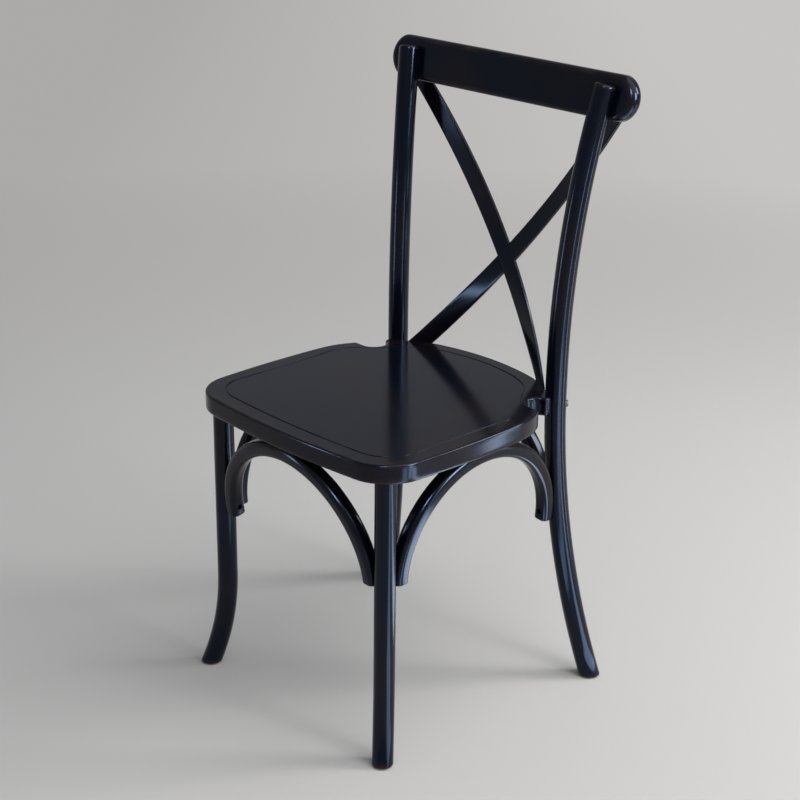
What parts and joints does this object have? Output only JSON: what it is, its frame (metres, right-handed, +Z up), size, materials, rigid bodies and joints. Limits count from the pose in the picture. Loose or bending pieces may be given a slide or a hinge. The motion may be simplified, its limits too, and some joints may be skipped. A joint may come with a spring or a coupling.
{
  "type": "dining chair",
  "caption": "Black lacquered bentwood cross back chair with a shaped board seat and an arch between each pair of legs.",
  "frame": {"origin": "middle of the chair's footprint on the floor, between its front-most and rear-most points", "axes": "-Y is the chair's front, +Y its back, +X the sitter's left and +Z up"},
  "size_m": [0.4822, 0.4685, 0.9086],
  "materials": {
    "lacquered_wood": "satin black lacquer on bent beech",
    "blackened_steel": "blackened, slightly worn",
    "glide_plastic": "hard nylon, scuffed",
    "cap_plastic": "satin, pressed in"
  },
  "bodies": {
    "root": {"arch_front": "lacquered_wood", "arch_rear": "lacquered_wood", "arch_left": "lacquered_wood", "arch_right": "lacquered_wood", "cross_strip_front": "lacquered_wood", "cross_strip_rear": "lacquered_wood", "crest_rail": "lacquered_wood", "front_leg_left": "lacquered_wood", "front_leg_right": "lacquered_wood", "rear_post_left": "lacquered_wood", "rear_post_right": "lacquered_wood", "seat_board": "lacquered_wood", "arch_end_screws": "blackened_steel", "arch_crown_screws": "blackened_steel", "strip_screws": "blackened_steel", "crest_rail_screws": "blackened_steel", "post_bolts": "blackened_steel", "post_bolt_washers": "blackened_steel", "post_barrel_nuts": "blackened_steel", "front_leg_left_glide": "glide_plastic", "front_leg_right_glide": "glide_plastic", "rear_post_left_glide": "glide_plastic", "rear_post_right_glide": "glide_plastic", "crest_rail_caps": "cap_plastic"}
  },
  "joints": []
}
